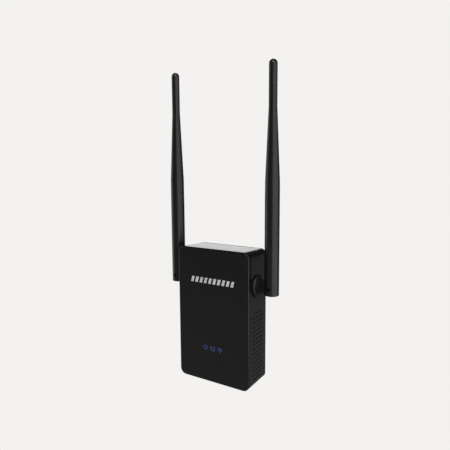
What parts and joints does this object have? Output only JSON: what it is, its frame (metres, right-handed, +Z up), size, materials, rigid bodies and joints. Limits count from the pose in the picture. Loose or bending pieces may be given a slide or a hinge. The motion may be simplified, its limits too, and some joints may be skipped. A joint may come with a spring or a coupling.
{
  "type": "wifi range extender",
  "caption": "Slim wall-plugged wifi range extender: glossy rounded box with vented sides, status signs, network sockets underneath and tall folding antennas on side hubs.",
  "frame": {"origin": "centre of the plug's mating face, midway between the two round pins", "axes": "+Y into the wall along the pins, -Y the front, +X to the right as seen from the room, facing the wall, +Z up along the upright antennas"},
  "size_m": [0.1014, 0.0659, 0.251],
  "materials": {
    "gloss_black": "moulded, polished",
    "satin_black": "moulded, fine satin",
    "plug_black": "moulded, fine satin",
    "pin_nickel": "nickel plated",
    "sleeve_black": "moulded",
    "spring_bronze": "stamped strip",
    "screw_steel": "zinc plated",
    "pin_blackened": "blackened",
    "board_green": "solder mask over glass epoxy",
    "shield_tin": "tin plated",
    "chip_black": "moulded package",
    "lamp_white": "clear package",
    "guide_clear": "clear acrylic",
    "sign_blue": "clear acrylic, lit blue from behind",
    "mark_grey": "pad print ink",
    "label_silver": "blank printed label",
    "jack_black": "moulded nylon",
    "contact_gold": "gold flash over bronze",
    "button_black": "moulded",
    "slider_white": "moulded",
    "spacer_white": "nylon",
    "ferrite_grey": "sintered",
    "tape_yellow": "polyester tape over copper wire",
    "capacitor_sleeve": "shrink sleeve over an aluminium can",
    "fuse_green": "lacquered",
    "crystal_can": "drawn can",
    "antenna_black": "moulded, satin",
    "hub_black": "moulded, satin",
    "radiator_brass": "drawn tube and wire",
    "cable_grey": "extruded jacket"
  },
  "bodies": {
    "housing": {"front_panel": "gloss_black", "front_mark": "mark_grey", "power_window": "sign_blue", "monitor_window": "sign_blue", "wifi_window": "sign_blue", "housing_shell": "gloss_black", "rear_cover": "satin_black", "rating_plate": "label_silver", "plug_insert": "plug_black", "plug_pin_left": "pin_nickel", "plug_pin_right": "pin_nickel", "pin_sleeves": "sleeve_black", "pin_contacts": "spring_bronze", "housing_screws": "screw_steel", "main_board": "board_green", "board_screws": "screw_steel", "rf_shield": "shield_tin", "radio_chip": "chip_black", "memory_chip": "chip_black", "crystal": "crystal_can", "status_lamps": "lamp_white", "light_guide": "guide_clear", "ethernet_jack_left": "jack_black", "ethernet_jack_right": "jack_black", "jack_contacts_left": "contact_gold", "jack_contacts_right": "contact_gold", "button_switch": "chip_black", "slider_switch": "chip_black", "power_board": "board_green", "board_spacers": "spacer_white", "board_header": "jack_black", "transformer_core": "ferrite_grey", "transformer_winding": "tape_yellow", "transformer_base": "chip_black", "mains_capacitors": "capacitor_sleeve", "output_capacitor": "capacitor_sleeve", "fuse": "fuse_green", "bridge_rectifier": "chip_black", "inductor": "ferrite_grey", "power_controller": "chip_black", "coax_connectors": "contact_gold", "pigtail_cable_left": "cable_grey", "pigtail_cable_right": "cable_grey"},
    "reset_button": {"reset_button": "button_black"},
    "mode_slider": {"mode_slider": "slider_white"},
    "left_hub": {"antenna_hub_left": "hub_black", "hub_clip_left": "screw_steel", "hub_cable_left": "cable_grey"},
    "left_antenna": {"antenna_sleeve_left": "antenna_black", "hinge_pin_left": "pin_blackened", "radiator_left": "radiator_brass", "feed_cable_left": "cable_grey"},
    "right_hub": {"antenna_hub_right": "hub_black", "hub_clip_right": "screw_steel", "hub_cable_right": "cable_grey"},
    "right_antenna": {"antenna_sleeve_right": "antenna_black", "hinge_pin_right": "pin_blackened", "radiator_right": "radiator_brass", "feed_cable_right": "cable_grey"}
  },
  "joints": [
    {"name": "left_swivel", "type": "hinge", "parent": "housing", "child": "left_hub", "pos_m": [-0.0334, -0.0321, 0.0234], "axis": [1, 0, 0], "range_deg": [-90, 180]},
    {"name": "left_tilt", "type": "hinge", "parent": "left_hub", "child": "left_antenna", "pos_m": [-0.0451, -0.0321, 0.0234], "axis": [0, -1, 0], "range_deg": [0, 90]},
    {"name": "right_swivel", "type": "hinge", "parent": "housing", "child": "right_hub", "pos_m": [0.0334, -0.0321, 0.0234], "axis": [1, 0, 0], "range_deg": [-90, 180]},
    {"name": "right_tilt", "type": "hinge", "parent": "right_hub", "child": "right_antenna", "pos_m": [0.0451, -0.0321, 0.0234], "axis": [0, 1, 0], "range_deg": [0, 90]},
    {"name": "reset_press", "type": "slide", "parent": "housing", "child": "reset_button", "axis": [0, 0, 1], "range_m": [0, 0.0006], "stiffness_N_per_m": 1000},
    {"name": "mode_slide", "type": "slide", "parent": "housing", "child": "mode_slider", "axis": [1, 0, 0], "range_m": [-0.0015, 0.0015]}
  ]
}
